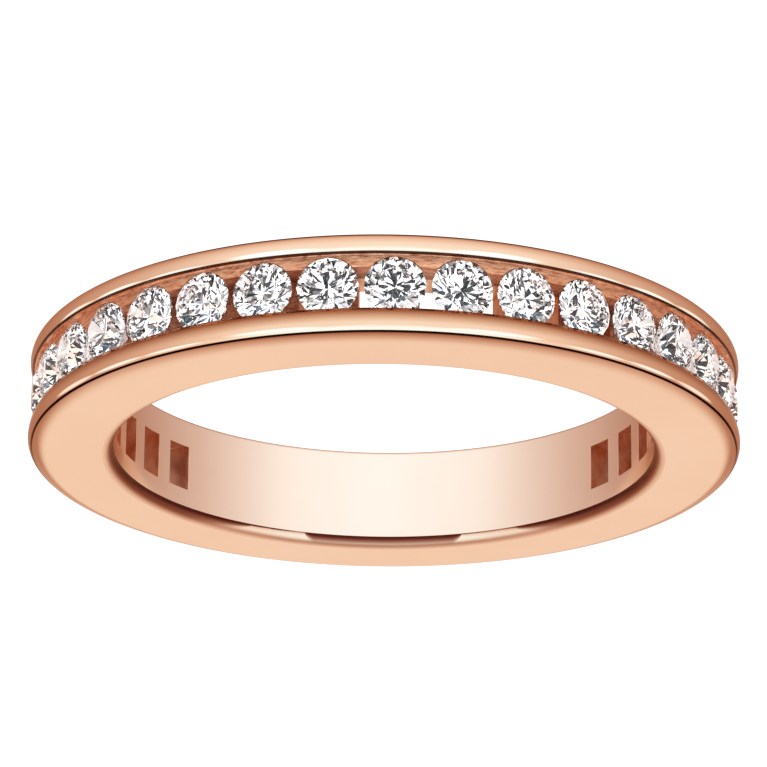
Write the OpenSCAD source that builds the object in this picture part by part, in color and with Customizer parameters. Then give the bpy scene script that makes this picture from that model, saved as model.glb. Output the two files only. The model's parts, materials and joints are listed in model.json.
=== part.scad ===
// Channel-set wedding band: one cast rose gold band and a row of round brilliant stones.
// The bore runs along Y, its centre is the origin, and the middle of the stone row is at +Z.

/* [Band] */
// Inside diameter, which is the finger size
inner_d = 16.9; // [14:0.1:21]
// Thickness from the bore to the crown of the rails
wall = 2.67; // [2.5:0.01:3.2]
// Width between the two side faces
band_w = 3.32; // [3.2:0.02:3.8]
// Rounding of the two edges of the bore
bore_edge_r = 0.31; // [0.15:0.01:0.4]

/* [Rails] */
// Radius of each rail's crown
crown_r = 0.46; // [0.42:0.01:0.48]
// Radius of the blend from the crown to the side face
side_r = 1; // [0.8:0.05:1.1]
// Angle from the radial direction at which the crown meets that blend
blend_angle = 62; // [55:1:70]
// Distance of the back crown's inner edge from the middle of the band
back_edge_y = 0.94; // [0.92:0.01:0.98]
// Distance of the front crown's inner edge from the middle of the band
front_edge_y = 0.78; // [0.76:0.01:0.98]
// How far the flat between the two crowns lies below them
middle_drop = 0.03; // [0.02:0.01:0.06]
// How far the ledge beside the stones lies below the crowns
ledge_drop = 0.22; // [0.1:0.01:0.28]

/* [Channel] */
// Width of the open channel between the rails
channel_w = 1.48; // [1.4:0.02:1.56]
// How far the stones' girdles lie below the crown
girdle_drop = 0.37; // [0.36:0.01:0.4]
// Depth of the channel floor below the girdles
floor_drop = 0.85; // [0.8:0.05:1]
// Clearance between a stone and its seat
seat_gap = 0.015; // [0.01:0.005:0.02]

/* [Stones] */
// Number of stones
stone_count = 25; // [15:2:27]
// Diameter of a stone
stone_d = 1.83; // [1.8:0.01:1.86]
// Gap between two stones, measured at their girdles
stone_space = 0.137; // [0.12:0.001:0.2]
// Turn of the whole row away from the top, in degrees
stone_turn = 1.5; // [-5:0.1:5]
// Width of the table as a share of the diameter
table_share = 0.56; // [0.52:0.01:0.62]
// Slope of the crown's main facets, in degrees
crown_angle = 34.5; // [32:0.5:36]
// Slope of the pavilion's main facets, in degrees
pavilion_angle = 40.8; // [40:0.1:42]
// Thickness of the girdle as a share of the diameter
girdle_share = 0.03; // [0.02:0.005:0.04]

/* [Windows] */
// Width of a window along the bore's circumference
window_w = 0.93; // [0.7:0.01:1]
// Length of a window along the bore's axis
window_l = 1.46; // [1:0.02:1.46]
// Turn of the row of windows away from the top, in degrees
window_turn = -2; // [-5:0.1:5]

/* [Hidden] */
$fn = 96;
// Radii of the swept surfaces
bore_r = inner_d / 2;
outer_r = bore_r + wall;
ledge_z = outer_r - ledge_drop;
girdle_z = outer_r - girdle_drop;
floor_z = girdle_z - floor_drop;
// Centres of the crown's arc and of the side blend's arc, as [radius, distance from the middle]
half_w = band_w / 2;
side_c = [outer_r - crown_r + (crown_r - side_r) * cos(blend_angle), half_w - side_r];
crown_c = side_c + (side_r - crown_r) * [cos(blend_angle), sin(blend_angle)];
// Reach of a cutter past the surface that it opens
past = 0.5;
// Proportions of a stone, measured from the middle of its girdle
stone_r = stone_d / 2;
table_r = stone_r * table_share;
half_girdle = stone_d * girdle_share / 2;
table_z = half_girdle + (stone_r - table_r) * tan(crown_angle);
culet_z = -half_girdle - stone_r * tan(pavilion_angle);
// Where the star facets end on the crown, and the lower halves on the pavilion, as shares of the radius
star_share = 0.78;
lower_share = 0.22;
facet_turn = 45;
half_turn = facet_turn / 2;
// Angle from one stone to the next
pitch = 2 * asin((stone_d + stone_space) / 2 / girdle_z);
last = (stone_count - 1) / 2;
row_end = last * pitch;

function two_digits(n) = n < 10 ? str("0", n) : str(n);
function stone_name(i) = str("stone_", two_digits(i + 1));

// Places its children, built upright on the bore's axis, at an angle from the top
module at_angle(angle) {
    rotate([0, angle, 0]) children();
}

// Sweeps a [radius, width] outline round the bore, over a span centred on an angle from the top
module sweep(span, middle) {
    rotate([90, 0, 0]) rotate([0, 0, 90 - middle - span / 2]) rotate_extrude(angle = span) children();
}

// A wedge from the origin, for cutting a sector out of a circle
module wedge(middle, span, reach) {
    polygon([[0, 0], for (a = [middle - span / 2, middle + span / 2]) reach * [cos(a), sin(a)]]);
}

// The band's whole section: a core with straight sides, and the circles that round its corners
module section() {
    edge_c = [bore_r + bore_edge_r, half_w - bore_edge_r];
    crown_end = crown_c + crown_r * [cos(blend_angle), sin(blend_angle)];
    upper = [
        [outer_r - middle_drop, crown_c[1]], crown_end,
        [side_c[0], half_w], [edge_c[0], half_w], [bore_r, edge_c[1]]
    ];
    lower = [for (i = [len(upper) - 1:-1:0]) [upper[i][0], -upper[i][1]]];
    polygon(concat(upper, lower));
    for (side = [-1, 1]) {
        translate([edge_c[0], side * edge_c[1]]) circle(bore_edge_r);
        translate([crown_c[0], side * crown_c[1]]) circle(crown_r);
        translate([side_c[0], side * side_c[1]]) intersection() {
            circle(side_r);
            wedge(side * (90 + blend_angle) / 2, 90 - blend_angle, 2 * side_r);
        }
    }
}

// The groove that the stones stand in. Its end walls overlap the last stones as far as the rails do.
module channel_cut() {
    end_angle = asin(channel_w / 2 / girdle_z);
    sweep(2 * (row_end + end_angle), stone_turn) {
        translate([ledge_z, -front_edge_y]) square([ledge_drop + past, front_edge_y + back_edge_y]);
        translate([floor_z, -channel_w / 2]) square([outer_r + past - floor_z, channel_w]);
    }
}

// The seat cut for one stone: a cone below the girdle, a notch for it and a cone above
module seat_cut(angle) {
    seat_r = stone_r + seat_gap;
    top_r = channel_w / 2;
    at_angle(angle) translate([0, 0, girdle_z]) {
        translate([0, 0, culet_z - seat_gap]) cylinder(r1 = 0.02, r2 = seat_r, h = -culet_z - half_girdle);
        translate([0, 0, -half_girdle - seat_gap]) cylinder(r = seat_r, h = 2 * (half_girdle + seat_gap));
        translate([0, 0, half_girdle + seat_gap])
            cylinder(r1 = seat_r, r2 = top_r, h = (seat_r - top_r) * tan(crown_angle));
    }
}

// The opening behind one stone, from the bore to the channel
module window_cut(angle) {
    at_angle(angle) translate([-window_w / 2, -window_l / 2, bore_r - past])
        cube([window_w, window_l, floor_z - bore_r + past + seat_gap]);
}

module band() {
    color([0.91, 0.66, 0.52]) difference() {
        sweep(360, 0) section();
        channel_cut();
        for (i = [-last:last]) seat_cut(stone_turn + i * pitch);
        for (i = [-last:last]) window_cut(window_turn + i * pitch);
    }
}

// Rings of corners of a round brilliant, as [x, y, z]
function ring(count, r, z, turn) = [for (k = [0:count - 1]) [r * cos(k * 360 / count + turn), r * sin(k * 360 / count + turn), z]];

// Height of the crown's, or depth of the pavilion's, main facets where a corner between two of them lies
function crown_at(r) = half_girdle + (stone_r - r * cos(half_turn)) * tan(crown_angle);
function pavilion_at(r) = -half_girdle - (stone_r - r * cos(half_turn)) * tan(pavilion_angle);

// A round brilliant: table, eight stars, eight kites, sixteen upper and sixteen lower halves, eight mains
module brilliant() {
    mid_r = star_share * stone_r;
    low_r = lower_share * stone_r;
    points = concat(
        ring(8, table_r, table_z, 0),
        ring(8, mid_r, crown_at(mid_r), half_turn),
        ring(16, stone_r, half_girdle, 0),
        ring(16, stone_r, -half_girdle, 0),
        ring(8, low_r, pavilion_at(low_r), half_turn),
        [[0, 0, culet_z]]
    );
    mid = 8;
    top = 16;
    under = 32;
    low = 48;
    culet = 56;
    eight = [0:7];
    faces = concat(
        [[for (k = eight) 7 - k]],
        [for (k = eight) [k, (k + 1) % 8, mid + k]],
        [for (k = eight) [k, mid + k, top + 2 * k]],
        [for (k = eight) [k, top + 2 * k, mid + (k + 7) % 8]],
        [for (k = eight) [mid + k, top + 2 * k + 1, top + 2 * k]],
        [for (k = eight) [mid + k, top + (2 * k + 2) % 16, top + 2 * k + 1]],
        [for (k = [0:15]) [top + k, top + (k + 1) % 16, under + (k + 1) % 16, under + k]],
        [for (k = eight) [low + k, under + 2 * k, under + 2 * k + 1]],
        [for (k = eight) [low + k, under + 2 * k + 1, under + (2 * k + 2) % 16]],
        [for (k = eight) [culet, low + (k + 7) % 8, under + 2 * k]],
        [for (k = eight) [culet, under + 2 * k, low + k]]
    );
    polyhedron(points, faces);
}

module stone(i) {
    color([0.93, 0.95, 0.98]) at_angle(stone_turn + (i - last) * pitch) translate([0, 0, girdle_z]) brilliant();
}

band();
for (i = [0:stone_count - 1])
    stone(i);
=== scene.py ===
"""Looks of the channel-set wedding band.

The ring and its 25 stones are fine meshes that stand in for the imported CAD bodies, in their places.
Lengths are in millimetres until a mesh is built. The bore's axis is Y and the row of stones is centred on +Z.
"""

import json
import math
import random

import bmesh
import bpy
import numpy as np
from mathutils import Matrix, Vector


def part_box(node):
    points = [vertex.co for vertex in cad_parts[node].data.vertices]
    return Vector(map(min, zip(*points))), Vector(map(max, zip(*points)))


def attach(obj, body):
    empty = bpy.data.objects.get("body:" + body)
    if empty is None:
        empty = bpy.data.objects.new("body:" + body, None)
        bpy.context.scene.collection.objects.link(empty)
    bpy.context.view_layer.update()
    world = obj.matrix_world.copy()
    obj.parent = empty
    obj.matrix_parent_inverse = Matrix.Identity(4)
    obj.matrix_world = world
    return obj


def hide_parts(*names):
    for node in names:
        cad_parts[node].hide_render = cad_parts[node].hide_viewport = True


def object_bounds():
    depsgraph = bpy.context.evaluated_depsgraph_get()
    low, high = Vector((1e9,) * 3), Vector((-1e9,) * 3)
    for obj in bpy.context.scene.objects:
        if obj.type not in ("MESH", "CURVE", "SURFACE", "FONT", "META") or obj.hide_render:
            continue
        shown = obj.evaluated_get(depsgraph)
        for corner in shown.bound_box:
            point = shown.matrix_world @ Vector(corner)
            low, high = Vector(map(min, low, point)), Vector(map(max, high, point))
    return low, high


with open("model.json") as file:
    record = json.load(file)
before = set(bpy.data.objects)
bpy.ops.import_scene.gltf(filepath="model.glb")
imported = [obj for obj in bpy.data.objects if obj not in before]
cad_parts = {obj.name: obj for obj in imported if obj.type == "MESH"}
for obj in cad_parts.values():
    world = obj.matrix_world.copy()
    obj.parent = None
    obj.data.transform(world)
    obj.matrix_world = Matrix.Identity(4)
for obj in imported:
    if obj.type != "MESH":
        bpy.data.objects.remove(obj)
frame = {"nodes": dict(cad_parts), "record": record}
cad_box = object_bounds()
random.seed(25)

MM = 0.001
COLUMNS = 480  # steps round the whole ring
HOLE_MARGIN = 0.12  # degrees that the steps of a pierced face keep from a hole's edge

# ---- sizes in millimetres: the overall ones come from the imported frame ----
OUTER_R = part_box("band")[1].z / MM
HALF_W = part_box("band")[1].y / MM
BORE_R = next(m["dims"]["r_mm"] for m in frame["record"]["mounts"] if m["name"] == "finger_bore")
STONES = sorted(n for n in frame["nodes"] if n.startswith("stone_"))

EDGE_R, BACK_EDGE_R = 0.34, 0.12  # rounding of the bore's front and back edge
CROWN_Y = 1.243  # where the rails are highest
CROWN_OUT_R = 0.34  # the rails' outer flank
# the rails' inner flanks: the back one ends in a step beside a ledge, the front one reaches over the stones
BACK_FLANK_R, BACK_FLANK_END = 0.50, -30.0
FRONT_FLANK_R, FRONT_FLANK_END = 0.765, -40.0
LIP_R = 0.02  # the rounding at the top of the step
SIDE_R = 1.0  # the shoulder between a rail and the side face
BLEND_ANGLE = 62.0  # where the outer flank runs into the shoulder
LINE_ANGLES = (41.5, 54.5)  # the engraved line on the outer shoulder
LINE_DEPTH = 0.06
LEDGE_R = OUTER_R - 0.31  # the ledge behind the stones
LEDGE_BEVEL = 0.02
MIDDLE_R = OUTER_R - 0.03  # the plain middle where there are no stones
FRONT_WALL_R = OUTER_R - 0.187  # where the front wall of the channel meets the flank
GIRDLE_R = OUTER_R - 0.37
FLOOR_R = GIRDLE_R - 0.85  # just below the culets
CHANNEL_Y = 0.74  # the channel's front wall; the metal between the stones reaches further in at the back
BACK_WALL_Y = 0.58
# depth of the step's upper part that is painted with the line's near-black shade at the ring's sides, what the
# ring's top adds, and the least of the step left in the channel gold
STEP_SHADE, STEP_SHADE_TOP, STEP_UNSHADED = 0.05, 0.15, 0.004
WINDOW_W, WINDOW_Y = 0.93, 0.73
WINDOW_OFFSET = -3.5  # degrees from a stone to the window behind it
WINDOW_BEVEL = 0.012
WINDOW_MIDDLE_R = 9.6  # polished below; raw above, in the channel gold, whose painted shade is darkest there

STONE_R = 0.915
SEAT_GAP = 0.015
SEAT_CONE_R = 0.91  # the seat's cone falls the height of the pavilion over this radius
TABLE_R = 0.56 * STONE_R
MID_R, LOW_R = 0.78 * STONE_R, 0.22 * STONE_R  # where the kites above and below the girdle end
HALF_GIRDLE = 0.015 * 2 * STONE_R
CROWN_SLOPE, PAVILION_SLOPE = math.tan(math.radians(34.5)), math.tan(math.radians(40.8))
HAND_SET_TILT = 0.8  # degrees either way

GOLD, LINE, BORE, CHANNEL, WINDOW, BACK_FLANK, FRONT_FLANK, RIM = range(8)  # material slots
BACK, FRONT = 1, -1  # sides of the band, towards +Y and -Y


def stone_angle(name):
    """Degrees from the top (+Z) towards +X of a stone's own axis."""
    co = np.array([v.co for v in frame["nodes"][name].data.vertices], float).reshape(-1, 3).mean(0)
    return math.degrees(math.atan2(co[0], co[2]))


ANGLES = [stone_angle(n) for n in STONES]
PITCH = (ANGLES[-1] - ANGLES[0]) / (len(ANGLES) - 1)
END = math.degrees(math.asin(CHANNEL_Y / GIRDLE_R))
CHANNEL_SPAN = (ANGLES[0] - END, ANGLES[-1] + END)


# ---- a mesh collected from patches, each with its own exact normals ----
class Patches:
    def __init__(self):
        self.points, self.normals, self.quads, self.slots = [], [], [], []
        self.count = 0

    def add(self, points, normals, slot, keep=None):
        """A grid of points (rows, columns, 3) with a normal for each; keep says which cells are faces."""
        p = np.asarray(points, float)
        n = np.broadcast_to(np.asarray(normals, float), p.shape)
        rows, cols = p.shape[:2]
        ids = np.arange(rows * cols).reshape(rows, cols)
        q = np.stack([ids[:-1, :-1], ids[1:, :-1], ids[1:, 1:], ids[:-1, 1:]], -1).reshape(-1, 4)
        if keep is not None:
            q = q[np.asarray(keep, bool).reshape(-1)]
        flat, flat_n = p.reshape(-1, 3), n.reshape(-1, 3)
        a, b, c, d = (flat[q[:, i]] for i in range(4))
        facing = np.cross(c - a, d - b)
        wrong = (facing * flat_n[q].sum(1)).sum(1) < 0
        q[wrong] = q[wrong][:, ::-1]
        used = np.unique(q)
        new = np.full(rows * cols, -1)
        new[used] = np.arange(len(used))
        self.points.append(flat[used])
        self.normals.append(flat_n[used])
        self.quads.append(new[q] + self.count)
        self.slots.append(np.full(len(q), slot))
        self.count += len(used)

    def build(self, name, materials):
        points = np.vstack(self.points) * MM
        normals = np.vstack(self.normals)
        normals /= np.linalg.norm(normals, axis=1, keepdims=True)
        faces = []
        slots = []
        for q, s in zip(np.vstack(self.quads).tolist(), np.concatenate(self.slots).tolist()):
            corners = []
            for i in q:
                if all(np.abs(points[i] - points[j]).max() > 1e-9 for j in corners):
                    corners.append(i)
            if len(corners) > 2:
                faces.append(corners)
                slots.append(s)
        mesh = bpy.data.meshes.new(name)
        mesh.from_pydata(points.tolist(), [], faces)
        mesh.polygons.foreach_set("material_index", slots)
        mesh.polygons.foreach_set("use_smooth", [True] * len(faces))
        mesh.update()
        mesh.normals_split_custom_set_from_vertices(normals.tolist())
        for m in materials:
            mesh.materials.append(m)
        obj = bpy.data.objects.new(name, mesh)
        bpy.context.scene.collection.objects.link(obj)
        return obj


def around(r, angle, y):
    """Points at a radius, an angle from the top towards +X, and a place across the band."""
    a = np.radians(angle)
    return np.stack(np.broadcast_arrays(r * np.sin(a), y, r * np.cos(a)), -1)


def turned(local, angle):
    """Points or a direction given at the top of the ring, turned to an angle."""
    c, s = math.cos(math.radians(angle)), math.sin(math.radians(angle))
    px, py, pz = local[..., 0], local[..., 1], local[..., 2]
    return np.stack([px * c + pz * s, py, -px * s + pz * c], -1)


def steps(start, stop, size):
    return np.linspace(start, stop, max(2, int(math.ceil((stop - start) / size)) + 1))


TURN = np.linspace(-180, 180, COLUMNS + 1)
CHANNEL_TURN = steps(*CHANNEL_SPAN, 360 / COLUMNS)
BACK_TURN = steps(CHANNEL_SPAN[1], CHANNEL_SPAN[0] + 360, 360 / COLUMNS)


def sweep(mesh, outline, slot, angles=TURN, sides=(BACK, FRONT)):
    """Revolves [(r, y, normal r, normal y), ...], on the back, the front or both, over the angles."""
    o = np.array(outline, float)
    for side in sides:
        p = around(o[None, :, 0], angles[:, None], side * o[None, :, 1])
        n = around(o[None, :, 2], angles[:, None], side * o[None, :, 3])
        mesh.add(p, n, slot)


def arc(centre_r, centre_y, radius, start, stop, count):
    """Outline points with their normals; angles from the radial direction towards the side face."""
    return [
        (centre_r + radius * math.cos(t), centre_y + radius * math.sin(t), math.cos(t), math.sin(t))
        for t in np.radians(np.linspace(start, stop, count))
    ]


def line(a, b, normal, count=2):
    return [
        (a[0] + (b[0] - a[0]) * t, a[1] + (b[1] - a[1]) * t, *normal) for t in np.linspace(0, 1, count)
    ]


def facet(a, b):
    """A straight stretch of outline whose normal is its own, on the left of the way from a to b."""
    dr, dy = b[0] - a[0], b[1] - a[1]
    size = math.hypot(dr, dy)
    return line(a, b, (dy / size, -dr / size))


def flank(side):
    """(centre and radius of the inner flank's arc, its end angle, the angle where the flat middle meets it)."""
    radius, end = (BACK_FLANK_R, BACK_FLANK_END) if side == BACK else (FRONT_FLANK_R, FRONT_FLANK_END)
    circle = (OUTER_R - radius, CROWN_Y, radius)
    return circle, end, -math.degrees(math.acos((MIDDLE_R - circle[0]) / radius))


def skin(mesh):
    """The polished outside: crowns, shoulders, side faces and the rounded edges of the bore."""
    # both inner flanks carry painted shade, darker towards the channel
    for side, slot in ((BACK, BACK_FLANK), (FRONT, FRONT_FLANK)):
        circle, end, flat = flank(side)
        sweep(mesh, arc(*circle, flat, 0, 9), slot, sides=(side,))
        sweep(mesh, arc(*circle, end, flat, 9), slot, CHANNEL_TURN, (side,))
    out = (OUTER_R - CROWN_OUT_R, CROWN_Y, CROWN_OUT_R)
    sweep(mesh, arc(*out, 0, LINE_ANGLES[0], 15), GOLD)
    sweep(mesh, arc(*out, LINE_ANGLES[1], BLEND_ANGLE, 5), GOLD)
    # the engraved line, painted near black as shade
    a, b = (arc(*out, t, t, 1)[0] for t in LINE_ANGLES)
    mid = arc(out[0], out[1], CROWN_OUT_R - LINE_DEPTH, sum(LINE_ANGLES) / 2, sum(LINE_ANGLES) / 2, 1)[0]
    sweep(mesh, facet(a, mid), LINE)
    sweep(mesh, facet(mid, b), LINE)
    # shoulder, side face and bore edge
    blend = math.radians(BLEND_ANGLE)
    side_c = (out[0] + (CROWN_OUT_R - SIDE_R) * math.cos(blend), HALF_W - SIDE_R)
    sweep(mesh, arc(*side_c, SIDE_R, BLEND_ANGLE, 90, 13), GOLD)
    # the front edge of the bore takes the rim's painted shade
    for side, radius, slot in ((BACK, BACK_EDGE_R, BORE), (FRONT, EDGE_R, RIM)):
        sweep(mesh, line((side_c[0], HALF_W), (BORE_R + radius, HALF_W), (0, 1), 5), GOLD, sides=(side,))
        sweep(mesh, arc(BORE_R + radius, HALF_W - radius, radius, 90, 180, 25), slot, sides=(side,))


def step_corner():
    """Centre of the small rounding at the top of the step beside the ledge."""
    circle, end, _ = flank(BACK)
    r, y, nr, ny = arc(*circle, end, end, 1)[0]
    return r - LIP_R * nr, y - LIP_R * ny


def channel(mesh):
    """The step behind the ledge with its bevelled foot, and the front flank's edge."""
    c = step_corner()
    wall_y = c[1] - LIP_R
    only = {"angles": CHANNEL_TURN, "sides": (BACK,)}
    # the lip's rounding takes the line's near-black painted shade
    sweep(mesh, arc(*c, LIP_R, -90, BACK_FLANK_END, 5), LINE, **only)
    levels = np.stack([step_levels(c[0], a) for a in CHANNEL_TURN.tolist()])
    # the step's upper part takes the line's near-black painted shade, deeper at the top of the band; the rest
    # takes the channel gold
    for k, slot in enumerate((LINE, CHANNEL)):
        mesh.add(around(levels[:, k : k + 2], CHANNEL_TURN[:, None], wall_y), (0, -1, 0), slot)
    sweep(mesh, facet((LEDGE_R, wall_y - LEDGE_BEVEL), (LEDGE_R + LEDGE_BEVEL, wall_y)), CHANNEL, **only)
    circle, end, _ = flank(FRONT)
    r, y, nr, ny = arc(*circle, end, end, 1)[0]
    sweep(mesh, line((FRONT_WALL_R, CHANNEL_Y), (r, y), (nr, ny)), FRONT_FLANK, CHANNEL_TURN, (FRONT,))


def step_levels(top, angle):
    """Radii of the step's top, the lower edge of its part painted with near-black shade and its foot, at an angle.
    """
    foot = LEDGE_R + LEDGE_BEVEL
    dark = STEP_SHADE + STEP_SHADE_TOP * max(0.0, math.cos(math.radians(angle))) ** 2
    return np.array([top, max(top - dark, foot + STEP_UNSHADED), foot])


def end_outline(side):
    """(r, y) of the channel's cross-section on one side, from the floor up to the flat middle."""
    circle, end, flat = flank(side)
    if side == BACK:
        c = step_corner()
        wall_y = c[1] - LIP_R
        points = [(FLOOR_R, BACK_WALL_Y), (LEDGE_R, BACK_WALL_Y), (LEDGE_R, wall_y - LEDGE_BEVEL)]
        points += [(LEDGE_R + LEDGE_BEVEL, wall_y), (c[0] - STEP_SHADE, wall_y)]
        points += [p[:2] for p in arc(*c, LIP_R, -90, end, 5)]
    else:
        points = [(FLOOR_R, CHANNEL_Y), (FRONT_WALL_R, CHANNEL_Y)]
    return points + [p[:2] for p in arc(*circle, end, flat, 9)]


def back(mesh):
    """The plain middle of the band where there are no stones, and the two end walls of the channel."""
    left, right = end_outline(FRONT), end_outline(BACK)
    y = np.linspace(-left[-1][1], right[-1][1], 9)
    p = around(MIDDLE_R, BACK_TURN[:, None], y[None])
    mesh.add(p, around(1.0, BACK_TURN[:, None], 0 * y[None]), GOLD)
    low = [(r, -y) for r, y in reversed(left)] + [(FLOOR_R, 0.0)] + right
    for angle, way in ((CHANNEL_SPAN[0], 1), (CHANNEL_SPAN[1], -1)):
        r = np.array([[p[0] for p in low], [MIDDLE_R] * len(low)])
        y = np.array([[p[1] for p in low]] * 2)
        a = math.radians(angle)
        mesh.add(around(r, angle, y), (way * math.cos(a), 0, -way * math.sin(a)), CHANNEL)


def window_angles():
    return [a + WINDOW_OFFSET for a in ANGLES]


def holes(mesh, r, edges_y, half, slot, turn, normal, reach, reach_back=None):
    """A revolved face with one rectangular hole for each window, from -reach across to reach or reach_back."""
    angles = set(np.round(turn, 6).tolist())
    spans = []
    for w in window_angles():
        h = math.degrees(math.asin(half / r))
        spans.append((w - h, w + h))
    for lo, hi in spans:
        angles = {a for a in angles if min(abs(a - lo), abs(a - hi)) >= HOLE_MARGIN}
        angles |= {e for e in (lo, hi) if turn[0] <= e <= turn[-1]}
    angles = np.array(sorted(angles))
    y = np.array(edges_y)
    mids = (angles[1:] + angles[:-1]) / 2
    mid_y = (y[1:] + y[:-1]) / 2
    inside = np.zeros(len(mids), bool)
    for lo, hi in spans:
        inside |= (mids > lo) & (mids < hi)
    open_y = (mid_y > -reach) & (mid_y < (reach if reach_back is None else reach_back))
    keep = ~(inside[:, None] & open_y[None])
    p = around(r, angles[:, None], y[None])
    mesh.add(p, around(normal, angles[:, None], 0 * y[None]), slot, keep)


def bore(mesh):
    """The finger hole's wall, between its rounded edges."""
    front, rear = HALF_W - EDGE_R, HALF_W - BACK_EDGE_R
    # rows across the wall: its edges, the windows' ends and a few between
    reach = WINDOW_Y + WINDOW_BEVEL
    y = [-front, -1.1, -0.9, -reach, -0.4, 0, 0.4, reach, 0.9, 1.1, 1.3, rear]
    holes(mesh, BORE_R, y, WINDOW_W / 2 + WINDOW_BEVEL, BORE, TURN, -1.0, reach)


def floor(mesh):
    """The channel's floor, pierced by the windows."""
    y = [-CHANNEL_Y, -WINDOW_Y, 0, BACK_WALL_Y]
    holes(mesh, FLOOR_R, y, WINDOW_W / 2, CHANNEL, CHANNEL_TURN, 1.0, WINDOW_Y, BACK_WALL_Y)
    # each window's back end runs on under the back wall, where it is closed
    half = math.degrees(math.asin(WINDOW_W / 2 / FLOOR_R))
    for w in window_angles():
        ceiling(mesh, max(w - half, CHANNEL_SPAN[0]), w + half, BACK_WALL_Y)
    # and the first window runs on under the end of the channel
    first = window_angles()[0] - half
    if first < CHANNEL_SPAN[0]:
        ceiling(mesh, first, CHANNEL_SPAN[0], -WINDOW_Y)


def ceiling(mesh, start, stop, y_start):
    """The closed end of a window, seen from the bore."""
    a = np.linspace(start, stop, 6)
    y = np.array([y_start, WINDOW_Y])
    mesh.add(around(FLOOR_R, a[:, None], y[None]), around(-1.0, a[:, None], 0 * y[None]), CHANNEL)


def windows(mesh):
    """Each window's bevelled rim and its four walls, from the bore to the channel floor."""
    half, y_end = WINDOW_W / 2, WINDOW_Y
    x = np.linspace(-1, 1, 9)
    # radius, and how much wider the window is there
    levels = [(BORE_R, WINDOW_BEVEL), (BORE_R + WINDOW_BEVEL, 0.0), (WINDOW_MIDDLE_R, 0.0), (FLOOR_R, 0.0)]

    def ring_z(r, px):
        return np.sqrt(r * r - px * px)

    for w in window_angles():
        for k, slot in enumerate((WINDOW, WINDOW, CHANNEL)):
            (r0, g0), (r1, g1) = levels[k : k + 2]
            tilt = 1.0 if k == 0 else 0.0
            for side in (1, -1):
                # walls across the bore's axis, at the two ends of the window
                rows = []
                for r, g in ((r0, g0), (r1, g1)):
                    px = x * (half + g)
                    rows.append(np.stack([px, np.full_like(px, side * (y_end + g)), ring_z(r, px)], -1))
                mesh.add(turned(np.array(rows), w), turned(np.array([0, -side, -tilt]), w), slot)
                # walls along the bore's axis
                ys = np.linspace(-1, 1, 7)
                rows = []
                for r, g in ((r0, g0), (r1, g1)):
                    px = np.full_like(ys, side * (half + g))
                    rows.append(np.stack([px, ys * (y_end + g), ring_z(r, px)], -1))
                mesh.add(turned(np.array(rows), w), turned(np.array([-side, 0, -tilt]), w), slot)


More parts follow.
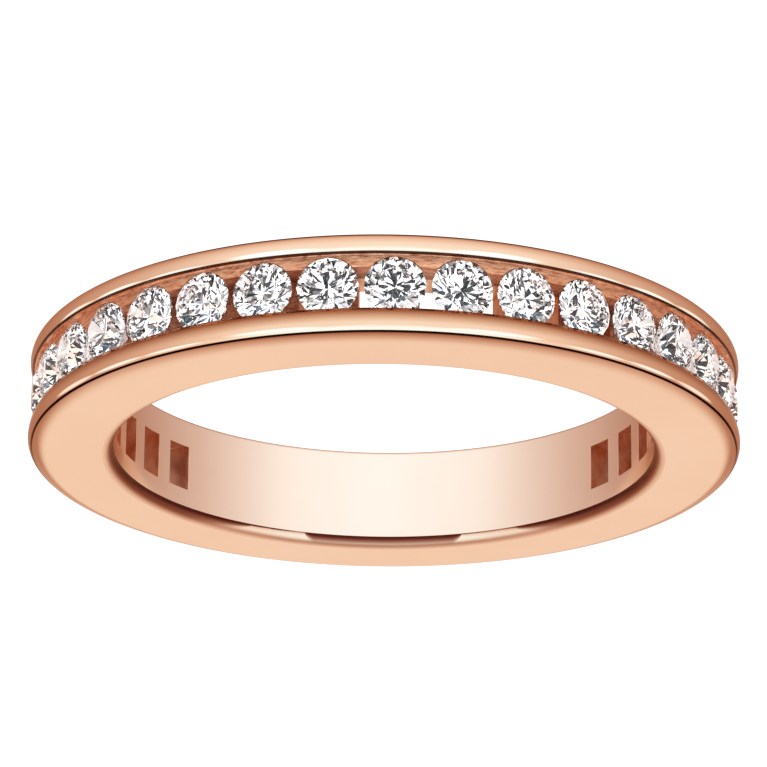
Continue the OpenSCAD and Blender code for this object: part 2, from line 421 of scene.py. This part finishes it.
def seats(mesh):
    """The channel's side walls with a notch for each stone's girdle, and the ledge above the back one."""
    seat_r = STONE_R + SEAT_GAP
    slope_down = SEAT_CONE_R / (STONE_R * PAVILION_SLOPE)
    half_h = HALF_GIRDLE + SEAT_GAP
    z_high = half_h + (seat_r - CHANNEL_Y) * CROWN_SLOPE
    ledge_y = step_corner()[1] - LIP_R - LEDGE_BEVEL

    def radius(z, side):
        if z < -half_h:
            return seat_r + (z + half_h) * slope_down
        if side == BACK:
            return seat_r
        return seat_r - max(0.0, z - half_h) / CROWN_SLOPE

    def ledge_z(x):
        return np.sqrt(LEDGE_R**2 - x * x) - GIRDLE_R

    half_turn = math.acos(BACK_WALL_Y / seat_r)
    rim_turn = half_turn * np.linspace(-1, 1, 17)
    rim = np.stack([seat_r * np.sin(rim_turn), seat_r * np.cos(rim_turn), ledge_z(seat_r * np.sin(rim_turn))], -1)
    for i, angle in enumerate(ANGLES):
        ends = [PITCH / 2 if 0 < i else END, PITCH / 2 if i < len(ANGLES) - 1 else END]
        for side, top_r, wall_y in ((BACK, LEDGE_R, BACK_WALL_Y), (FRONT, FRONT_WALL_R, CHANNEL_Y)):
            low = np.linspace(-half_h - (seat_r - wall_y) / slope_down, -half_h, 6)
            high = np.array([half_h, rim[0, 2]]) if side == BACK else np.linspace(half_h, z_high, 6)
            levels = np.concatenate([low, high])
            chord = np.array([math.sqrt(max(0.0, radius(z, side) ** 2 - wall_y**2)) for z in levels])
            chord[0] = 0.0
            if side == FRONT:
                chord[-1] = 0.0
            stop = math.degrees(math.asin(chord[-1] / top_r))
            for way, end in ((-1, ends[0]), (1, ends[1])):
                # the wall beside the notch: the notch's outline, then the outline of the cell
                count = len(levels)
                outline = [(0.0, FLOOR_R), (end / 2, FLOOR_R), (end, FLOOR_R), (end, (FLOOR_R + top_r) / 2)]
                outline += [(end + (stop - end) * t, top_r) for t in np.linspace(0, 1, count - 4)]
                cell = [
                    (way * r * math.sin(math.radians(a)), side * wall_y, r * math.cos(math.radians(a)))
                    for a, r in outline
                ]
                hole = [(way * x, side * wall_y, GIRDLE_R + z) for x, z in zip(chord, levels)]
                mesh.add(turned(np.array([hole, cell]), angle), (0, -side, 0), CHANNEL)
            # the notch itself: under the girdle, beside it and, in front, over it
            # the cone under each girdle takes the line's near-black painted shade
            bands = [(low, slope_down, LINE), (np.array([-half_h, half_h]), 0.0, CHANNEL)]
            if side == FRONT:
                bands.append((high, -1 / CROWN_SLOPE, CHANNEL))
            for band_levels, slope, slot in bands:
                rows, normals = [], []
                for z in band_levels:
                    r = max(radius(z, side), wall_y)
                    b = math.acos(min(1.0, wall_y / r)) * np.linspace(-1, 1, 17)
                    rows.append(np.stack([r * np.sin(b), side * r * np.cos(b), np.full_like(b, GIRDLE_R + z)], -1))
                    normals.append(np.stack([-np.sin(b), -side * np.cos(b), np.full_like(b, slope)], -1))
                mesh.add(turned(np.array(rows), angle), turned(np.array(normals), angle), slot)
        # the back notch goes straight up to the ledge
        top = rim + (0, 0, GIRDLE_R)
        start = top.copy()
        start[:, 2] = GIRDLE_R + half_h
        lean = np.stack([-np.sin(rim_turn), -np.cos(rim_turn), 0 * rim_turn], -1)
        mesh.add(turned(np.array([start, top]), angle), turned(np.array([lean, lean]), angle), CHANNEL)
        # the ledge, from the notch out to the step
        around_rim = [(math.degrees(math.atan2(x, z)), y) for x, y, z in top]
        first = [(t, BACK_WALL_Y) for t in np.linspace(-ends[0], around_rim[0][0], 4)[:-1]]
        last = [(t, BACK_WALL_Y) for t in np.linspace(around_rim[-1][0], ends[1], 4)[1:]]
        turn, inner = np.array(first + around_rim + last).T
        y = inner[:, None] + (ledge_y - inner)[:, None] * np.linspace(0, 1, 4)[None]
        a = angle + turn[:, None]
        mesh.add(around(LEDGE_R, a, y), around(1.0, a, 0 * y), CHANNEL)


# ---- materials ----
TURN_R = 10.0  # the radius at which distances round the ring are true
TURN_END = TURN_R * math.pi  # half way round, at the bottom of the ring


class Nodes:
    """Short hand for building a node tree."""

    def __init__(self, name):
        self.material = bpy.data.materials.new(name)
        self.material.use_nodes = True
        self.tree = self.material.node_tree
        self.tree.nodes.clear()
        self.out = self.tree.nodes.new("ShaderNodeOutputMaterial")

    def new(self, kind, **values):
        node = self.tree.nodes.new("ShaderNode" + kind)
        for key, value in values.items():
            if key in node.inputs.keys():
                self.set(node.inputs[key], value)
            else:
                setattr(node, key, value)
        return node

    def set(self, socket, value):
        if isinstance(value, bpy.types.NodeSocket):
            self.tree.links.new(value, socket)
        else:
            socket.default_value = value

    def link(self, a, b):
        self.tree.links.new(a, b)

    def noise(self, vector, scale, detail=3.0, rough=0.5, distortion=0.0):
        node = self.new("TexNoise")
        self.link(vector, node.inputs["Vector"])
        node.inputs["Scale"].default_value = scale
        node.inputs["Detail"].default_value = detail
        node.inputs["Roughness"].default_value = rough
        node.inputs["Distortion"].default_value = distortion
        return node.outputs["Fac"]

    def span(self, value, lo, hi, to_lo, to_hi):
        node = self.new("MapRange")
        self.link(value, node.inputs["Value"])
        for key, v in zip(("From Min", "From Max", "To Min", "To Max"), (lo, hi, to_lo, to_hi)):
            node.inputs[key].default_value = v
        return node.outputs["Result"]

    def ramp(self, value, stops):
        node = self.new("ValToRGB")
        self.link(value, node.inputs["Fac"])
        e = node.color_ramp.elements
        while len(e) < len(stops):
            e.new(0.5)
        for element, (at, colour) in zip(e, stops):
            element.position = at
            element.color = (*colour, 1)
        return node.outputs["Color"]

    def math(self, kind, a, b=None):
        node = self.new("Math", operation=kind)
        self.set(node.inputs[0], a)
        if b is not None:
            self.set(node.inputs[1], b)
        return node.outputs[0]

    def bump(self, height, distance, strength=1.0, normal=None):
        node = self.new("Bump")
        node.inputs["Strength"].default_value = strength
        node.inputs["Distance"].default_value = distance
        self.link(height, node.inputs["Height"])
        if normal is not None:
            self.link(normal, node.inputs["Normal"])
        return node.outputs["Normal"]

    def ring_coordinates(self):
        """(distance round the ring in mm, distance across it in mm, distance from the axis in mm)."""
        place = self.new("TexCoord").outputs["Object"]
        xyz = self.new("SeparateXYZ")
        self.link(place, xyz.inputs[0])
        turn = self.math("ARCTAN2", xyz.outputs["X"], xyz.outputs["Z"])
        radius = self.math(
            "SQRT",
            self.math(
                "ADD",
                self.math("MULTIPLY", xyz.outputs["X"], xyz.outputs["X"]),
                self.math("MULTIPLY", xyz.outputs["Z"], xyz.outputs["Z"]),
            ),
        )
        joined = self.new("CombineXYZ")
        self.link(self.math("MULTIPLY", turn, TURN_R), joined.inputs["X"])
        self.link(self.math("MULTIPLY", xyz.outputs["Y"], 1 / MM), joined.inputs["Y"])
        self.link(self.math("MULTIPLY", radius, 1 / MM), joined.inputs["Z"])
        return joined.outputs[0]

    def stretched(self, vector, scale):
        node = self.new("Mapping")
        self.link(vector, node.inputs["Vector"])
        node.inputs["Scale"].default_value = scale
        return node.outputs[0]


PEACH, PEACH_DARK = (0.94, 0.62, 0.43), (0.92, 0.59, 0.40)


def metal(name, light, dark, rough, grain, grain_scale, grain_depth, streaked=False):
    """A gold surface: slow colour drift or fine streaks, polish marks and a grain along grain_scale."""
    n = Nodes(name)
    place = n.new("TexCoord").outputs["Object"]
    fine = n.noise(n.stretched(n.ring_coordinates(), grain_scale), 1.0, 4.0, 0.6)
    colour = n.ramp(fine if streaked else n.noise(place, 180.0, 3.0), [(0.36, dark), (0.64, light)])
    return polished(n, place, colour, fine, rough, grain, grain_depth)


def polished(n, place, colour, fine, rough, grain, grain_depth, metallic=1.0, specular=0.5):
    """The gold shader: its roughness follows the polish marks, and its bump the fine pattern."""
    cloud = n.noise(place, 600.0, 4.0, 0.6)
    marks = n.math("ADD", n.math("MULTIPLY", fine, grain), n.math("MULTIPLY", cloud, 1 - grain))
    shader = n.new("BsdfPrincipled", Metallic=metallic)
    shader.inputs["Specular IOR Level"].default_value = specular
    shader.inputs["Specular Tint"].default_value = (1.0, 0.93, 0.84, 1)
    n.link(colour, shader.inputs["Base Color"])
    n.link(n.span(marks, 0.3, 0.7, *rough), shader.inputs["Roughness"])
    n.link(n.bump(fine, grain_depth * MM, 1.0), shader.inputs["Normal"])
    n.link(shader.outputs[0], n.out.inputs["Surface"])
    return n.material


def shaded_metal(name, axis, start, end, stops, rough, ragged=0.012, spread=None):
    """Polished gold with painted shade: its colour runs through the stops from start to end.

    axis is what the painted shade changes with, from start to end: X round the ring, Y across the band, Z the
    radius.
    ragged is how far its edge wanders. spread is a ramp of the share of its width that the painted shade keeps,
    over the distance from the ring's middle plane, from 0 to RIM_REACH.
    """
    n = Nodes(name)
    place = n.new("TexCoord").outputs["Object"]
    ring = n.ring_coordinates()
    xyz = n.new("SeparateXYZ")
    n.link(ring, xyz.inputs[0])
    at = n.math("ABSOLUTE", xyz.outputs[axis])
    drift = n.noise(n.stretched(ring, (0.6, 3.0, 3.0)), 1.0, 3.0)
    at = n.math("ADD", at, n.span(drift, 0.3, 0.7, -ragged, ragged))
    at = n.span(at, start, end, 0, 1)
    if spread:
        object_xyz = n.new("SeparateXYZ")
        n.link(place, object_xyz.inputs[0])
        away = n.math("ABSOLUTE", object_xyz.outputs["X"])
        share = n.ramp(n.span(away, 0, RIM_REACH * MM, 0, 1), [(x, (v,) * 3) for x, v in spread])
        at = n.math("DIVIDE", at, share)
    colour = n.ramp(at, stops)
    fine = n.noise(n.stretched(ring, (0.4, 9.0, 9.0)), 1.0, 4.0, 0.6)
    return polished(n, place, colour, fine, rough, 0.5, 0.0004)


def channel_metal():
    """The walls and ledge round the stones: cut by hand, with short bright burrs, and painted shade that darkens
    them with depth.
    """
    n = Nodes("rose_gold_channel")
    place = n.new("TexCoord").outputs["Object"]
    ring = n.ring_coordinates()
    xyz = n.new("SeparateXYZ")
    n.link(ring, xyz.inputs[0])
    # painted shade: darker towards the channel floor
    depth = n.ramp(
        n.span(xyz.outputs["Z"], FLOOR_R, OUTER_R, 0, 1),
        [
            (0.0, (0.35, 0.15, 0.09)),
            (0.30, (0.65, 0.32, 0.20)),
            (0.52, (0.92, 0.50, 0.32)),
            (0.64, (0.90, 0.42, 0.24)),
            (1.0, (0.95, 0.50, 0.31)),
        ],
    )
    fine = n.noise(n.stretched(ring, (3.0, 14.0, 9.0)), 1.0, 5.0, 0.65, 0.6)
    burr = n.ramp(
        fine,
        [
            (0.36, (0.5, 0.34, 0.27)),
            (0.47, (0.86, 0.76, 0.70)),
            (0.58, (1.0, 1.0, 1.0)),
            (0.66, (1.25, 1.35, 1.35)),
        ],
    )
    colour = n.new("Mix", data_type="RGBA", blend_type="MULTIPLY")
    colour.inputs["Factor"].default_value = 1.0
    n.link(depth, colour.inputs["A"])
    n.link(burr, colour.inputs["B"])
    return polished(n, place, colour.outputs["Result"], fine, (0.3, 0.5), 0.6, 0.02, 0.8, 0.15)


def diamond():
    """Clear stone whose facets carry faint polishing lines. The low tint keeps the surface's own gleam down."""
    n = Nodes("diamond_cut")
    place = n.new("TexCoord").outputs["Object"]
    tint = n.ramp(n.noise(place, 700.0, 2.0), [(0.35, (0.97, 0.98, 1.0)), (0.65, (1.0, 1.0, 1.0))])
    polish = n.noise(n.stretched(place, (9000.0, 700.0, 9000.0)), 1.0, 2.0)
    shader = n.new("BsdfPrincipled", IOR=2.417)
    shader.inputs["Transmission Weight"].default_value = 1.0
    shader.inputs["Specular Tint"].default_value = (0.25, 0.25, 0.26, 1)
    n.link(tint, shader.inputs["Base Color"])
    n.link(n.span(polish, 0.3, 0.7, 0.0, 0.012), shader.inputs["Roughness"])
    n.link(n.bump(polish, 0.0002 * MM, 0.2), shader.inputs["Normal"])
    n.link(shader.outputs[0], n.out.inputs["Surface"])
    return n.material


# ---- the band ----
# painted shade: the back flank is painted darker next to the step, fading to peach at the crown
BACK_FLANK_SHADE = [(0.0, (0.80, 0.45, 0.28)), (0.15, (0.93, 0.62, 0.43)), (0.4, (0.96, 0.68, 0.50)), (1.0, PEACH)]
# painted shade: the front flank is painted dark brown next to the stones, fading to peach at the crown
FRONT_FLANK_SHADE = [
    (0.0, (0.25, 0.06, 0.02)),
    (0.146, (0.35, 0.115, 0.045)),
    (0.312, (0.50, 0.19, 0.10)),
    (0.46, (0.60, 0.305, 0.172)),
    (0.61, (0.71, 0.40, 0.247)),
    (0.753, (0.79, 0.49, 0.31)),
    (0.89, (0.88, 0.553, 0.368)),
    (1.0, PEACH),
]
# how much of its width the rim's painted shade keeps, by the distance from the ring's middle plane
RIM_SHARE = [(0.0, 0.55), (0.33, 0.55), (0.37, 0.01), (0.62, 0.02), (0.93, 1.0)]
RIM_REACH = 7.0
# painted shade: the engraved line, the step, the lip and the cones under the girdles are painted near black at the
# top of the band, turning brown towards its sides
LINE_SHADE = [
    (0.0, (0.06, 0.012, 0.01)),
    (0.36, (0.06, 0.012, 0.01)),
    (0.47, (0.28, 0.09, 0.05)),
    (1.0, (0.35, 0.13, 0.075)),
]
# painted shade: the front edge of the bore is painted near black at the bore, fading to peach towards the side
# face
RIM_SHADE = [
    (0.0, (0.09, 0.014, 0.008)),
    (0.07, (0.13, 0.022, 0.012)),
    (0.28, (0.38, 0.12, 0.06)),
    (0.6, (0.78, 0.46, 0.30)),
    (1.0, PEACH),
]
materials = [
    metal("rose_gold_polished", PEACH, PEACH_DARK, (0.03, 0.07), 0.5, (0.4, 9.0, 9.0), 0.0004),
    # the line's gold, with near-black painted shade
    shaded_metal("rose_gold_line", "X", 0, TURN_END, LINE_SHADE, (0.35, 0.55), 0.6),
    # painted highlight: the bore's gold is painted paler than the rest of the band
    metal("rose_gold_bore", (1.0, 0.835, 0.715), (0.99, 0.81, 0.685), (0.14, 0.2), 0.5, (0.5, 12.0, 12.0), 0.0006),
    channel_metal(),
    metal(
        "rose_gold_window", (1.0, 0.66, 0.44), (0.70, 0.30, 0.16), (0.3, 0.5), 0.7, (14.0, 0.8, 1.2), 0.015, True
    ),
    # the back flank, with painted shade towards the step
    shaded_metal("rose_gold_back_flank", "Y", 0.96, CROWN_Y, BACK_FLANK_SHADE, (0.05, 0.1)),
    # the front flank, with painted shade towards the stones
    shaded_metal("rose_gold_front_flank", "Y", 0.75, CROWN_Y, FRONT_FLANK_SHADE, (0.06, 0.12)),
    # the bore's front edge, with painted shade
    shaded_metal("rose_gold_rim", "Z", BORE_R, BORE_R + EDGE_R, RIM_SHADE, (0.34, 0.42), 0.002, RIM_SHARE),
]
shell = Patches()
for part in (skin, channel, back, bore, floor, windows, seats):
    part(shell)
band = shell.build("ring_band", materials)
band.visible_transmission = False
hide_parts("band")
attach(band, "root")


# ---- the stones ----
def brilliant():
    """Corners and faces of a round brilliant, in millimetres, its table towards +Z."""

    def ring(count, r, z, turn):
        a = [math.radians(k * 360 / count + turn) for k in range(count)]
        return [(r * math.cos(t), r * math.sin(t), z) for t in a]

    cos_half = math.cos(math.radians(22.5))
    table_z = HALF_GIRDLE + (STONE_R - TABLE_R) * CROWN_SLOPE
    points = ring(8, TABLE_R, table_z, 0)
    points += ring(8, MID_R, HALF_GIRDLE + (STONE_R - MID_R * cos_half) * CROWN_SLOPE, 22.5)
    points += ring(16, STONE_R, HALF_GIRDLE, 0)
    points += ring(16, STONE_R, -HALF_GIRDLE, 0)
    points += ring(8, LOW_R, -HALF_GIRDLE - (STONE_R - LOW_R * cos_half) * PAVILION_SLOPE, 22.5)
    points.append((0, 0, -HALF_GIRDLE - STONE_R * PAVILION_SLOPE))
    mid, top, under, low, culet = 8, 16, 32, 48, 56
    faces = [tuple(range(8))]
    for k in range(8):
        nxt, prev = (k + 1) % 8, (k + 7) % 8
        faces.append((k, mid + k, nxt))
        faces.append((k, mid + prev, top + 2 * k, mid + k))
        faces.append((mid + k, top + 2 * k, top + 2 * k + 1))
        faces.append((mid + k, top + 2 * k + 1, top + (2 * k + 2) % 16))
        faces.append((low + k, under + 2 * k + 1, under + 2 * k))
        faces.append((low + k, under + (2 * k + 2) % 16, under + 2 * k + 1))
        faces.append((culet, low + k, under + 2 * k, low + prev))
    for k in range(16):
        faces.append((top + k, under + k, under + (k + 1) % 16, top + (k + 1) % 16))
    return points, faces


stone_material = diamond()
points, faces = brilliant()
for name, angle in zip(STONES, ANGLES):
    spin = Matrix.Rotation(math.radians(random.uniform(0, 45)), 4, "Z")
    lean_x = Matrix.Rotation(math.radians(random.uniform(-HAND_SET_TILT, HAND_SET_TILT)), 4, "X")
    lean_y = Matrix.Rotation(math.radians(random.uniform(-HAND_SET_TILT, HAND_SET_TILT)), 4, "Y")
    seat = Matrix.Rotation(math.radians(angle), 4, "Y") @ Matrix.Translation((0, 0, GIRDLE_R * MM))
    place = seat @ lean_x @ lean_y @ spin
    mesh = bpy.data.meshes.new("cut_" + name)
    mesh.from_pydata([place @ (Vector(p) * MM) for p in points], [], faces)
    mesh.materials.append(stone_material)
    mesh.update()
    obj = bpy.data.objects.new("cut_" + name, mesh)
    bpy.context.scene.collection.objects.link(obj)
    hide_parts(name)
    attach(obj, "root")


# ---- studio ----
def lobe(n, direction, inner, outer, way):
    """1 within the inner angle of a direction, 0 beyond the outer one."""
    node = n.new("VectorMath", operation="DOT_PRODUCT")
    n.link(direction, node.inputs[0])
    node.inputs[1].default_value = Vector(way).normalized()
    m = n.new("MapRange", interpolation_type="SMOOTHSTEP")
    n.link(node.outputs["Value"], m.inputs["Value"])
    m.inputs["From Min"].default_value = math.cos(math.radians(outer))
    m.inputs["From Max"].default_value = math.cos(math.radians(inner))
    return m.outputs["Result"]


class WorldNodes(Nodes):
    def __init__(self, world):
        self.tree = world.node_tree
        self.tree.nodes.clear()
        self.out = self.tree.nodes.new("ShaderNodeOutputWorld")


def towards(azimuth, elevation):
    """A direction by its azimuth from the front (-Y) towards +X, and its elevation."""
    a, e = math.radians(azimuth), math.radians(elevation)
    return (math.sin(a) * math.cos(e), -math.cos(a) * math.cos(e), math.sin(e))


# brightness by elevation, in degrees: in front of the ring, behind it and at its sides
IN_FRONT = [(-90, 0.92), (-66, 0.97), (-49, 0.92), (-29, 0.72), (-12, 0.46), (0, 0.32), (10, 0.5), (20, 1.35)]
IN_FRONT += [(27, 1.8), (41, 2.2), (61, 1.85), (76, 1.35), (90, 1.2)]
BEHIND = [(-90, 0.85), (-50, 0.44), (-18, 0.52), (0, 0.68), (12, 0.83), (30, 0.92), (50, 1.0), (72, 1.18)]
BEHIND += [(90, 1.2)]
BESIDE = [(-90, 0.85), (-70, 0.5), (-50, 0.48), (-28, 0.56), (0, 0.70), (15, 0.8), (29, 0.9), (55, 1.1), (90, 1.2)]
LAMPS = [
    # strength, inner and outer angle, azimuth, elevation
    (0.15, 8, 30, 50, 12),
    (0.15, 8, 30, -50, 12),
    (1.1, 7, 17, 58, 50),
    (1.1, 7, 17, -58, 50),
    # along the edge of the far rail
    (0.5, 3, 10, 48, 38),
    (0.5, 3, 10, -48, 38),
    (1.1, 4, 12, 63, 15),
    (1.1, 4, 12, -63, 15),
    (1.2, 4, 12, 73, -4),
    (1.2, 4, 12, -73, -4),
    (0.9, 4, 12, 78, -24),
    (0.9, 4, 12, -78, -24),
]
BRIGHTEST = 2.4
# dim parts of the studio are warm and its lamps a little cool, by brightness
WARMTH = [
    (0.0, (0, 0, 0)),
    (0.3, (0.3, 0.12, 0.07)),
    (0.5, (0.5, 0.29, 0.22)),
    (0.7, (0.7, 0.53, 0.46)),
    (0.85, (0.85, 0.75, 0.70)),
    (1.0, (1, 1, 1)),
    (1.27, (1.03, 1.2, 1.27)),
    (1.84, (1.055, 1.53, 1.84)),
    (BRIGHTEST, (1.07, 1.62, 2.3)),
]


def by_elevation(n, height, table):
    return n.ramp(n.span(height, -90, 90, 0, 1), [((e + 90) / 180, (v / BRIGHTEST,) * 3) for e, v in table])


def studio_world():
    """What the gold reflects. The camera and the stones don't see it."""
    world = bpy.data.worlds.new("studio")
    bpy.context.scene.world = world
    world.use_nodes = True
    n = WorldNodes(world)
    direction = n.new("TexCoord").outputs["Generated"]
    xyz = n.new("SeparateXYZ")
    n.link(direction, xyz.inputs[0])
    height = n.math("MULTIPLY", n.math("ARCSINE", xyz.outputs["Z"]), 180 / math.pi)
    flat = n.math("SQRT", n.math("SUBTRACT", 1.0001, n.math("MULTIPLY", xyz.outputs["Z"], xyz.outputs["Z"])))
    facing = n.math("DIVIDE", xyz.outputs["Y"], flat)
    level = by_elevation(n, height, BESIDE)
    for table, start, full in ((IN_FRONT, -0.6, -0.95), (BEHIND, 0.45, 0.95)):
        blend = n.new("Mix", data_type="RGBA")
        share = n.new("MapRange", interpolation_type="SMOOTHSTEP")
        n.link(facing, share.inputs["Value"])
        share.inputs["From Min"].default_value = start
        share.inputs["From Max"].default_value = full
        n.link(share.outputs["Result"], blend.inputs["Factor"])
        n.link(level, blend.inputs["A"])
        n.link(by_elevation(n, height, table), blend.inputs["B"])
        level = blend.outputs["Result"]
    for strength, inner, outer, azimuth, elevation in LAMPS:
        shape = lobe(n, direction, inner, outer, towards(azimuth, elevation))
        level = n.math("ADD", level, n.math("MULTIPLY", shape, strength / BRIGHTEST))
    warm = n.ramp(level, [(e / BRIGHTEST, tuple(c / BRIGHTEST for c in colour)) for e, colour in WARMTH])
    background = n.new("Background")
    background.inputs["Strength"].default_value = BRIGHTEST
    n.link(warm, background.inputs["Color"])
    n.link(background.outputs[0], n.out.inputs["Surface"])
    world.cycles_visibility.camera = False
    world.cycles_visibility.transmission = False


def stage_object(name, mesh, material, camera, transmission):
    """A piece of the studio, seen either by the camera or by the rays through the stones."""
    mesh.materials.append(material)
    obj = bpy.data.objects.new(name, mesh)
    bpy.context.scene.collection.objects.link(obj)
    obj.visible_camera = camera
    obj.visible_transmission = transmission
    obj.visible_glossy = obj.visible_diffuse = obj.visible_volume_scatter = obj.visible_shadow = False


def dome_mesh(name, radius):
    mesh = bpy.data.meshes.new(name)
    b = bmesh.new()
    bmesh.ops.create_uvsphere(b, u_segments=64, v_segments=32, radius=radius)
    b.to_mesh(mesh)
    b.free()
    return mesh


# ---- studio round the ring ----
TENT_R, BACKDROP_R, FLOOR_HALF = 0.9, 1.0, 0.98  # metres
TENT_LIGHT, FLOOR_LIGHT = 1.33, 0.93


def tent_material():
    """What the stones see: white and dark panels with bluish edges, rosy below, calmer at the two sides."""
    n = Nodes("tent_panels")
    place = n.new("TexCoord").outputs["Object"]
    norm = n.new("VectorMath", operation="NORMALIZE")
    n.link(place, norm.inputs[0])
    direction = norm.outputs[0]
    xyz = n.new("SeparateXYZ")
    n.link(direction, xyz.inputs[0])
    level = n.ramp(
        n.span(xyz.outputs["Z"], -1, 1, 0, 1),
        [
            (0.0, (0.85, 0.62, 0.52)),
            (0.45, (0.6, 0.40, 0.31)),
            (0.50, (0.02,) * 3),
            (0.57, (0.02,) * 3),
            (0.61, (0.9,) * 3),
            (1.0, (1.0,) * 3),
        ],
    )
    cell = n.new("TexVoronoi", feature="F1")
    n.link(direction, cell.inputs["Vector"])
    cell.inputs["Scale"].default_value = 4.0
    panel = n.ramp(
        cell.outputs["Color"],
        [
            (0.0, (0.01, 0.01, 0.012)),
            (0.44, (0.015, 0.015, 0.018)),
            (0.455, (0.5, 0.56, 0.72)),
            (0.48, (0.92, 0.93, 0.97)),
            (0.7, (1.5, 1.5, 1.5)),
        ],
    )
    mixed = n.new("Mix", data_type="RGBA", blend_type="MULTIPLY")
    mixed.inputs["Factor"].default_value = 1.0
    n.link(level, mixed.inputs["A"])
    n.link(panel, mixed.inputs["B"])
    side = n.span(n.math("ABSOLUTE", xyz.outputs["X"]), 0.4, 0.8, 0.0, 0.7)
    evened = n.new("Mix", data_type="RGBA")
    n.link(side, evened.inputs["Factor"])
    n.link(mixed.outputs["Result"], evened.inputs["A"])
    evened.inputs["B"].default_value = (1, 0.93, 0.90, 1)
    # the dark opening for the camera
    lens = n.math("SUBTRACT", 1.0, lobe(n, direction, 13, 16, towards(0, 70)))
    light = n.new("Emission")
    n.link(evened.outputs["Result"], light.inputs["Color"])
    n.link(n.math("MULTIPLY", lens, TENT_LIGHT), light.inputs["Strength"])
    n.link(light.outputs[0], n.out.inputs["Surface"])
    n.material.cycles.emission_sampling = "NONE"
    return n.material


def backdrop_material():
    n = Nodes("backdrop_white")
    light = n.new("Emission")
    light.inputs["Color"].default_value = (1, 1, 1, 1)
    light.inputs["Strength"].default_value = 1.0
    n.link(light.outputs[0], n.out.inputs["Surface"])
    n.material.cycles.emission_sampling = "NONE"
    return n.material


def floor_material():
    """A pale matte floor that glows faintly, so that it runs on into the backdrop."""
    n = Nodes("pale_floor")
    place = n.new("TexCoord").outputs["Object"]
    shade = n.ramp(n.noise(place, 30.0, 2.0), [(0.3, (0.29, 0.29, 0.29)), (0.7, (0.3, 0.3, 0.3))])
    matte = n.new("BsdfDiffuse")
    n.link(shade, matte.inputs["Color"])
    light = n.new("Emission")
    light.inputs["Color"].default_value = (1, 1, 1, 1)
    light.inputs["Strength"].default_value = FLOOR_LIGHT
    both = n.new("AddShader")
    n.link(matte.outputs[0], both.inputs[0])
    n.link(light.outputs[0], both.inputs[1])
    n.link(both.outputs[0], n.out.inputs["Surface"])
    n.material.cycles.emission_sampling = "NONE"
    return n.material


def floor_mesh():
    mesh = bpy.data.meshes.new("floor")
    z = cad_box[0].z
    corners = [(x, y, z) for x, y in ((-1, -1), (1, -1), (1, 1), (-1, 1))]
    mesh.from_pydata([(x * FLOOR_HALF, y * FLOOR_HALF, z) for x, y, z in corners], [], [(0, 1, 2, 3)])
    return mesh


studio_world()
stage_object("tent", dome_mesh("tent", TENT_R), tent_material(), False, True)
stage_object("backdrop", dome_mesh("backdrop", BACKDROP_R), backdrop_material(), True, False)
stage_object("floor", floor_mesh(), floor_material(), True, False)

# ---- camera: in front of the ring and high above it, a long lens ----
DISTANCE, ELEVATION, ROLL = 0.132248, math.radians(70.064), math.radians(0.524)
AIM_RIGHT, AIM_UP = -0.000023, 0.000907  # where it points, beside the ring's centre
SENSOR_WIDTH, FOCAL_LENGTH = 36.0, 197.64


def add_camera():
    level_up = Vector((0, math.sin(ELEVATION), math.cos(ELEVATION)))
    up = level_up * math.cos(ROLL) - Vector((1, 0, 0)) * math.sin(ROLL)
    right = Vector((1, 0, 0)) * math.cos(ROLL) + level_up * math.sin(ROLL)
    place = Vector((0, -math.cos(ELEVATION), math.sin(ELEVATION))) * DISTANCE
    z = (place - up * AIM_UP - right * AIM_RIGHT).normalized()
    x = up.cross(z).normalized()
    data = bpy.data.cameras.new("camera")
    data.sensor_width, data.lens = SENSOR_WIDTH, FOCAL_LENGTH
    data.clip_start, data.clip_end = 0.01, 5.0
    camera = bpy.data.objects.new("camera", data)
    bpy.context.scene.collection.objects.link(camera)
    camera.matrix_world = Matrix.Translation(place) @ Matrix((x, z.cross(x), z)).transposed().to_4x4()
    bpy.context.scene.camera = camera


add_camera()

scene = bpy.context.scene
scene.view_settings.view_transform = "Standard"
# enough bounces for light to find its way out of the stones
scene.cycles.max_bounces = 24
scene.cycles.glossy_bounces = 16
scene.cycles.transmission_bounces = 24
scene.cycles.blur_glossy = 0.0
scene.cycles.caustics_refractive = True
scene.cycles.caustics_reflective = True
